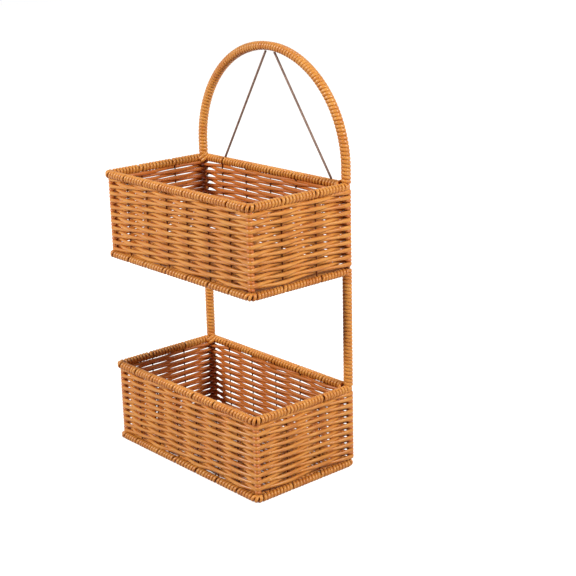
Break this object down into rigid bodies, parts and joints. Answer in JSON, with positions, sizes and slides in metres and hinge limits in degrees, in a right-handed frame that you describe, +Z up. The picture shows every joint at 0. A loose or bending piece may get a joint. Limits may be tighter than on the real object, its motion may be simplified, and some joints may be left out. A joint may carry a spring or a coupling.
{
  "type": "wall basket",
  "caption": "Hanging wall basket: open woven trays one above the other on bound wire legs that join in a tall arch, with thin straight braces inside the arch.",
  "frame": {"origin": "middle of the outline on the surface that the lower tray stands on", "axes": "+Z up, +Y towards the wall, so the front faces -Y; +X to the right seen from the front"},
  "size_m": [0.21, 0.12, 0.38],
  "materials": {
    "strand": "satin",
    "frame_wire": "satin",
    "brace_wire": "satin"
  },
  "bodies": {
    "root": {"arch_binding": "strand", "arch_rod": "frame_wire", "brace_left": "brace_wire", "brace_right": "brace_wire", "leg_binding_left": "strand", "leg_binding_right": "strand", "lower_base_back_binding": "strand", "lower_base_frame": "frame_wire", "lower_base_front_binding": "strand", "lower_floor_weave": "strand", "lower_lashing_left": "strand", "lower_lashing_right": "strand", "lower_post_corner_left": "frame_wire", "lower_post_corner_right": "frame_wire", "lower_rim_back_binding": "strand", "lower_rim_front_binding": "strand", "lower_rim_wire": "frame_wire", "lower_stake_back_1": "frame_wire", "lower_stake_back_2": "frame_wire", "lower_stake_back_3": "frame_wire", "lower_stake_back_4": "frame_wire", "lower_stake_back_5": "frame_wire", "lower_stake_front_1": "frame_wire", "lower_stake_front_2": "frame_wire", "lower_stake_front_3": "frame_wire", "lower_stake_front_4": "frame_wire", "lower_stake_front_5": "frame_wire", "lower_stake_front_6": "frame_wire", "lower_stake_left_1": "frame_wire", "lower_stake_left_2": "frame_wire", "lower_stake_right_1": "frame_wire", "lower_stake_right_2": "frame_wire", "lower_wall_weave": "strand", "upper_base_back_binding": "strand", "upper_base_frame": "frame_wire", "upper_base_front_binding": "strand", "upper_floor_weave": "strand", "upper_lashing_left": "strand", "upper_lashing_right": "strand", "upper_post_corner_left": "frame_wire", "upper_post_corner_right": "frame_wire", "upper_rim_back_binding": "strand", "upper_rim_front_binding": "strand", "upper_rim_wire": "frame_wire", "upper_stake_back_1": "frame_wire", "upper_stake_back_2": "frame_wire", "upper_stake_back_3": "frame_wire", "upper_stake_back_4": "frame_wire", "upper_stake_back_5": "frame_wire", "upper_stake_front_1": "frame_wire", "upper_stake_front_2": "frame_wire", "upper_stake_front_3": "frame_wire", "upper_stake_front_4": "frame_wire", "upper_stake_front_5": "frame_wire", "upper_stake_front_6": "frame_wire", "upper_stake_left_1": "frame_wire", "upper_stake_left_2": "frame_wire", "upper_stake_right_1": "frame_wire", "upper_stake_right_2": "frame_wire", "upper_wall_weave": "strand"}
  },
  "joints": []
}
